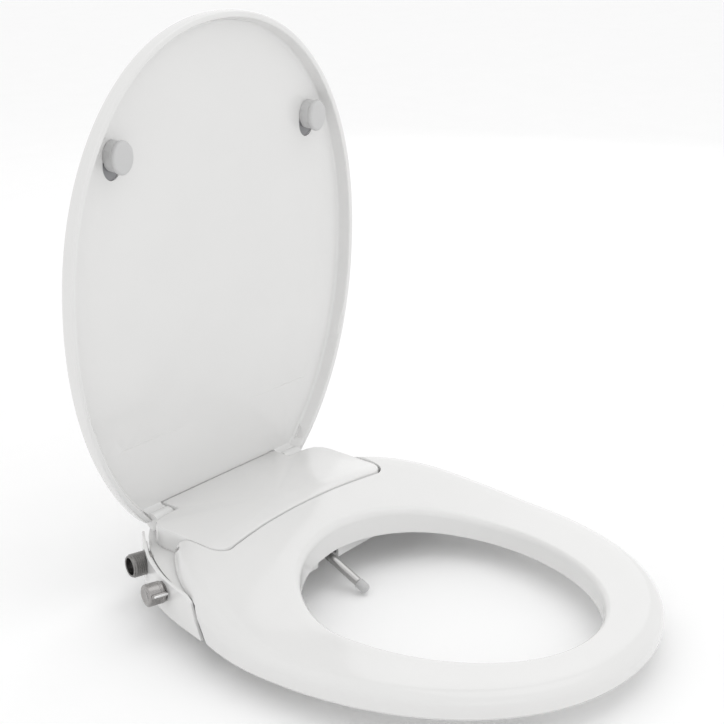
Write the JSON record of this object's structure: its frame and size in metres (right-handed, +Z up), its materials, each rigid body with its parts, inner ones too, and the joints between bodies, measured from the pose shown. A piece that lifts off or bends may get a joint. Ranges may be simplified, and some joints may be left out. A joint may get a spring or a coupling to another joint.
{
  "type": "bidet seat",
  "caption": "Slim water-powered bidet toilet seat with hinged ring and lid, extending spray nozzle, side lever valve, threaded inlet and quick-release bracket.",
  "frame": {"origin": "midway between the two fixing bolts, on the top of the toilet bowl", "axes": "+Z up, front of the seat toward -Y, the seated user's left toward +X; inlet and lever on the -X side"},
  "size_m": [0.37, 0.4432, 0.4905],
  "materials": {
    "white_gloss": "polished",
    "light_grey": "satin",
    "grey_rubber": "matt",
    "grey_plastic": "matt",
    "black_plastic": "matt",
    "chrome": "polished",
    "steel": "brushed",
    "dark_brass": "dull plated",
    "ceramic": "glazed",
    "hose": "matt"
  },
  "bodies": {
    "housing": {"housing_base": "white_gloss", "housing_cover": "white_gloss", "control_panel": "white_gloss", "side_panel": "white_gloss", "mounting_plate": "grey_plastic", "bolt_insert_left": "black_plastic", "seat_damper_left": "grey_plastic", "lid_damper_left": "grey_plastic", "base_pad_left": "grey_rubber", "rear_pad_left": "grey_rubber", "bolt_insert_right": "black_plastic", "seat_damper_right": "grey_plastic", "lid_damper_right": "grey_plastic", "base_pad_right": "grey_rubber", "rear_pad_right": "grey_rubber", "cover_screw_1": "steel", "cover_screw_2": "steel", "cover_screw_3": "steel", "cover_screw_4": "steel", "inlet_fitting": "dark_brass", "inlet_screen": "steel", "valve_body": "grey_plastic", "valve_cartridge": "ceramic", "lever_collar": "chrome", "inlet_hose": "hose", "nozzle_barrel": "grey_plastic", "nozzle_guide": "light_grey", "nozzle_spring": "steel", "nozzle_hose": "hose", "release_spring": "steel"},
    "seat": {"seat_shell": "white_gloss", "seat_underside": "white_gloss", "seat_pin_left": "steel", "seat_bumper_front_left": "grey_rubber", "seat_bumper_rear_left": "grey_rubber", "seat_pin_right": "steel", "seat_bumper_front_right": "grey_rubber", "seat_bumper_rear_right": "grey_rubber"},
    "lid": {"lid_shell": "white_gloss", "lid_pin_left": "steel", "lid_bumper_left": "grey_rubber", "lid_pin_right": "steel", "lid_bumper_right": "grey_rubber"},
    "nozzle": {"nozzle_tube": "steel", "nozzle_seal": "grey_rubber", "nozzle_tip": "light_grey"},
    "lever": {"valve_stem": "dark_brass", "lever_handle": "chrome"},
    "release": {"release_button": "light_grey", "release_latch": "grey_plastic"}
  },
  "joints": [
    {"name": "seat_hinge", "type": "hinge", "parent": "housing", "child": "seat", "pos_m": [0, -0.0445, 0.042], "axis": [1, 0, 0], "range_deg": [-100, 0]},
    {"name": "lid_hinge", "type": "hinge", "parent": "housing", "child": "lid", "pos_m": [0, 0.012, 0.0432], "axis": [1, 0, 0], "range_deg": [0, 90.6]},
    {"name": "nozzle_slide", "type": "slide", "parent": "housing", "child": "nozzle", "axis": [0, 0.9092, 0.4163], "range_m": [0, 0.0428]},
    {"name": "lever_turn", "type": "hinge", "parent": "housing", "child": "lever", "pos_m": [-0.1545, -0.061, 0.0244], "axis": [-0.9563, 0.2924, 0], "range_deg": [-90, 60]},
    {"name": "release_press", "type": "slide", "parent": "housing", "child": "release", "axis": [-1, 0, 0], "range_m": [0, 0.005], "stiffness_N_per_m": 800, "springref_m": -0.002}
  ]
}
